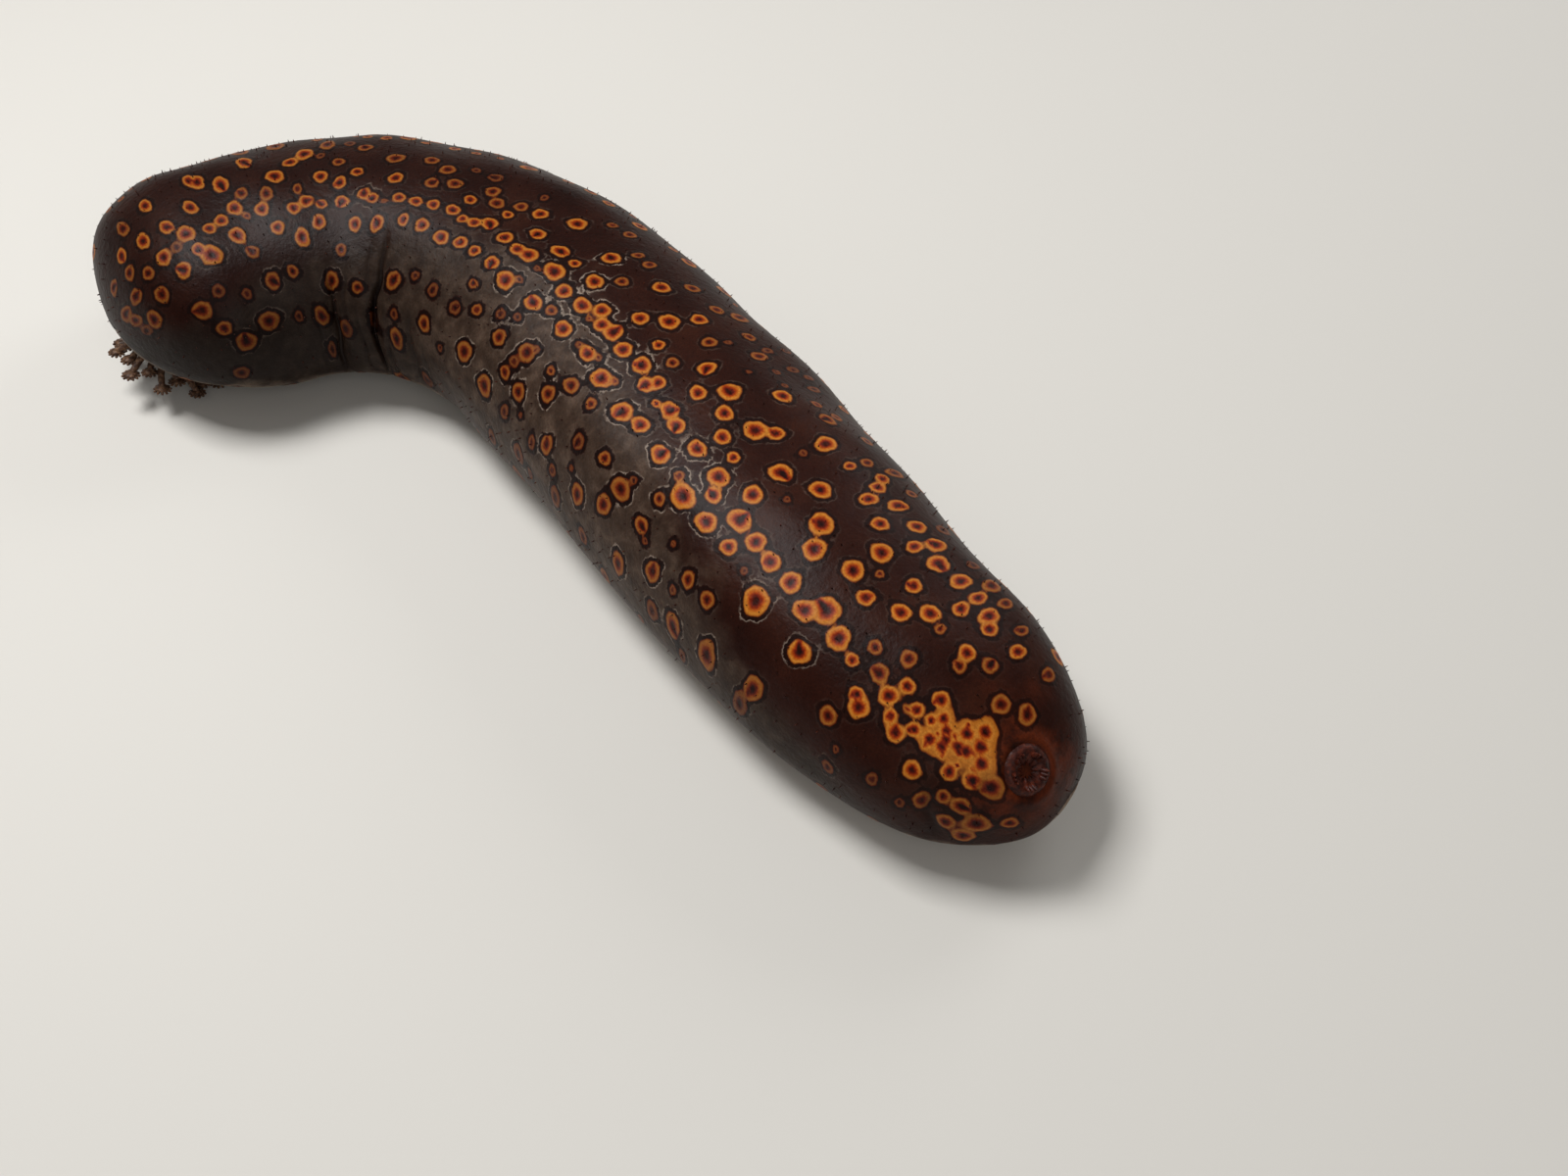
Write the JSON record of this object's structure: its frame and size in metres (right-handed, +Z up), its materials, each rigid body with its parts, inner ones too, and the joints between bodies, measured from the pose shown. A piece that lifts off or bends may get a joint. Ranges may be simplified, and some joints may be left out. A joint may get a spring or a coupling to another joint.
{
  "type": "sea cucumber",
  "caption": "Leopard sea cucumber at rest: a long rounded body bent to its left, lying on a sole of tube feet, with shield-tipped tentacles round its mouth.",
  "frame": {"origin": "on the floor under the middle of the animal's outline", "axes": "+X from the tail towards the head, +Z up from the floor"},
  "size_m": [0.3772, 0.1433, 0.0664],
  "materials": {
    "back_skin": "wet, smooth leathery skin, dark red-brown with orange eye spots ringed in near-black",
    "sole_skin": "softer beige-grey skin of the sole, with brown-tipped tube feet",
    "tentacle_skin": "moist brown mouth disc and tentacles",
    "vent_skin": "moist puckered red-brown skin round the vent"
  },
  "bodies": {
    "root": {"tail_end": "back_skin", "back_rear": "back_skin", "back_middle": "back_skin", "back_bend": "back_skin", "back_front": "back_skin", "head_end": "back_skin", "sole_rear": "sole_skin", "sole_middle": "sole_skin", "sole_bend": "sole_skin", "sole_front": "sole_skin", "mouth": "tentacle_skin", "anus": "vent_skin"}
  },
  "joints": []
}
